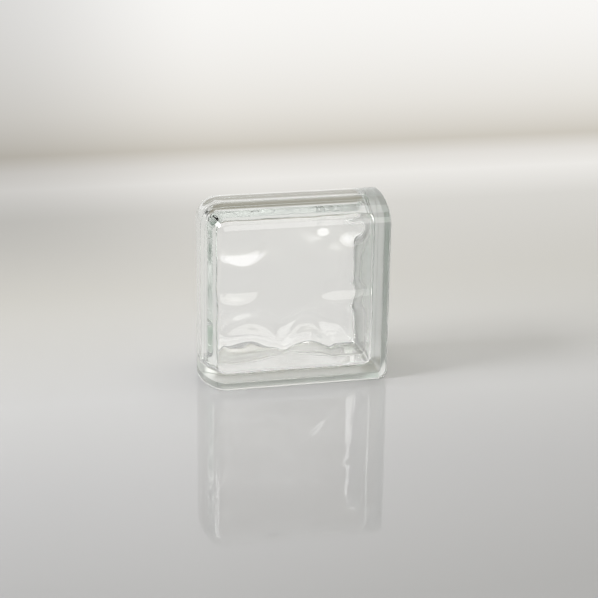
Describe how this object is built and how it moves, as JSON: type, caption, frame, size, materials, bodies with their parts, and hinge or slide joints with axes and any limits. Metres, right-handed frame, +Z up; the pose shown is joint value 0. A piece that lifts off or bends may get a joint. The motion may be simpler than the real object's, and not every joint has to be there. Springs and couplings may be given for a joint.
{
  "type": "glass block",
  "caption": "Hollow clear glass block with two rounded finished sides, two channelled mortar sides and wavy inner faces.",
  "frame": {"origin": "middle of the base, halfway between the two faces, on the level that the base rims stand on", "axes": "+X along the face to the mortar side on the right, +Y from the front face to the rear one, +Z up to the finished top"},
  "size_m": [0.1968, 0.0984, 0.1969],
  "materials": {
    "front_glass": "clear pressed soda-lime glass with a slight green tint",
    "rear_glass": "clear pressed soda-lime glass with a slight green tint"
  },
  "bodies": {
    "root": {"front_half": "front_glass", "rear_half": "rear_glass"}
  },
  "joints": []
}
